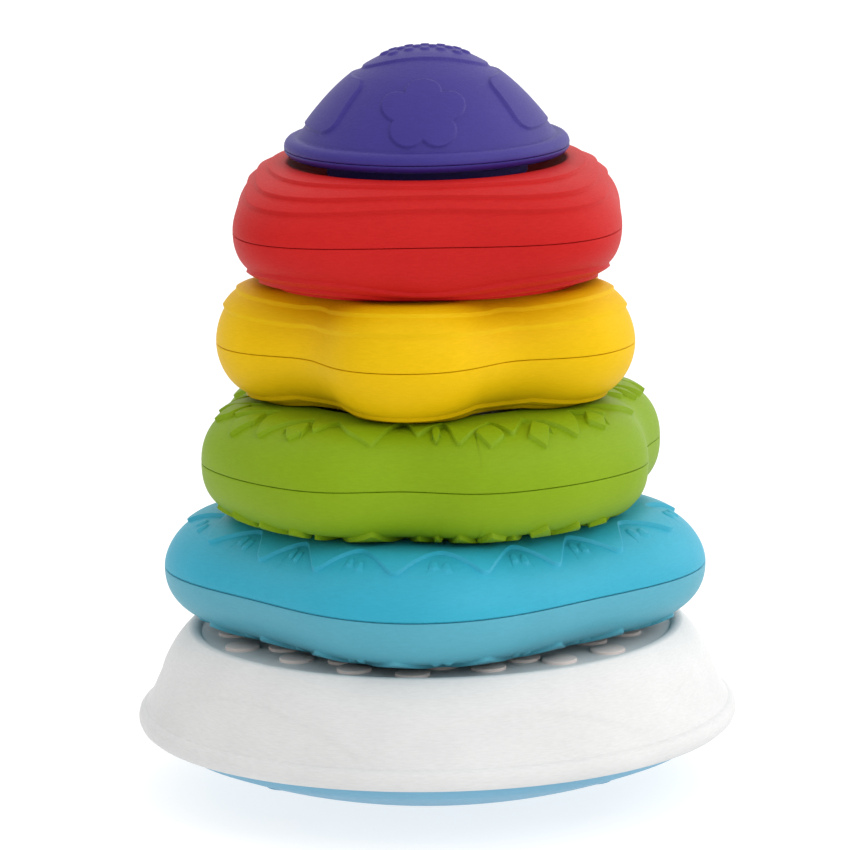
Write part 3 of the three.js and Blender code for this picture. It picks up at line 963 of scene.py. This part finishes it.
cap_dome()
cap_base()


# ---- camera, floor and light ----------------------------------------------------------------

CAMERA_PLACE = (-0.002, -1.6, 0.4248)
LOOKING_DOWN = 11.347         # degrees
CAMERA_ROLL = -1.093
FOCAL_LENGTH = 243.974        # for a sensor 36 mm wide
FLOOR_HALF = 6.0
WORLD_SLOPE = (0.36, 0.1, 0.4)   # how the surround brightens to the right, to the back and upwards
WORLD_LEVEL = 0.94
TOY_MIDDLE = (0, 0, 0.11)


def make_camera():
    """Long lens in front of the toy, looking slightly down and rolled about a degree."""
    data = bpy.data.cameras.new("camera")
    data.sensor_width = 36
    data.lens = FOCAL_LENGTH
    camera = bpy.data.objects.new("camera", data)
    bpy.context.scene.collection.objects.link(camera)
    tilt = Matrix.Rotation(math.radians(90 - LOOKING_DOWN), 4, "X")
    roll = Matrix.Rotation(math.radians(CAMERA_ROLL), 4, "Z")
    camera.matrix_world = Matrix.Translation(CAMERA_PLACE) @ tilt @ roll
    bpy.context.scene.camera = camera


def make_floor():
    """Plain pale floor with a little light of its own, which keeps the toy's shadow faint."""
    mesh = bpy.data.meshes.new("floor")
    corners = [(x * FLOOR_HALF, y * FLOOR_HALF, 0) for x, y in ((-1, -1), (1, -1), (1, 1), (-1, 1))]
    mesh.from_pydata(corners, [], [(0, 1, 2, 3)])
    material = bpy.data.materials.new("floor")
    material.use_nodes = True
    shader = material.node_tree.nodes["Principled BSDF"]
    shader.inputs["Base Color"].default_value = (0.32, 0.32, 0.32, 1)
    shader.inputs["Roughness"].default_value = 0.9
    shader.inputs["Emission Color"].default_value = (1, 1, 1, 1)
    shader.inputs["Emission Strength"].default_value = 0.74
    mesh.materials.append(material)
    floor = bpy.data.objects.new("floor", mesh)
    bpy.context.scene.collection.objects.link(floor)


def soft_light(name, place, size, power):
    data = bpy.data.lights.new(name, "AREA")
    data.size = size
    data.energy = power
    light = bpy.data.objects.new(name, data)
    light.location = place
    light.rotation_euler = (Vector(TOY_MIDDLE) - Vector(place)).to_track_quat("-Z", "Y").to_euler()
    bpy.context.scene.collection.objects.link(light)


def make_light():
    """A wide soft surround, brighter from the right and from above, and two soft lights."""
    world = bpy.data.worlds.new("studio")
    bpy.context.scene.world = world
    world.use_nodes = True
    nodes = world.node_tree.nodes
    links = world.node_tree.links
    direction = nodes.new("ShaderNodeTexCoord").outputs["Generated"]
    towards = nodes.new("ShaderNodeVectorMath")
    towards.operation = "DOT_PRODUCT"
    towards.inputs[1].default_value = WORLD_SLOPE
    links.new(direction, towards.inputs[0])
    strength = nodes.new("ShaderNodeMath")
    strength.operation = "ADD"
    strength.inputs[1].default_value = WORLD_LEVEL
    links.new(towards.outputs["Value"], strength.inputs[0])
    background = nodes["Background"]
    background.inputs["Color"].default_value = (1, 1, 1, 1)
    links.new(strength.outputs[0], background.inputs["Strength"])
    soft_light("key", (0.9, -1.1, 1.1), 0.45, 3)
    soft_light("rim", (1.6, 0.5, 0.7), 0.8, 3)


make_camera()
make_floor()
make_light()
bpy.context.scene.view_settings.view_transform = "Standard"
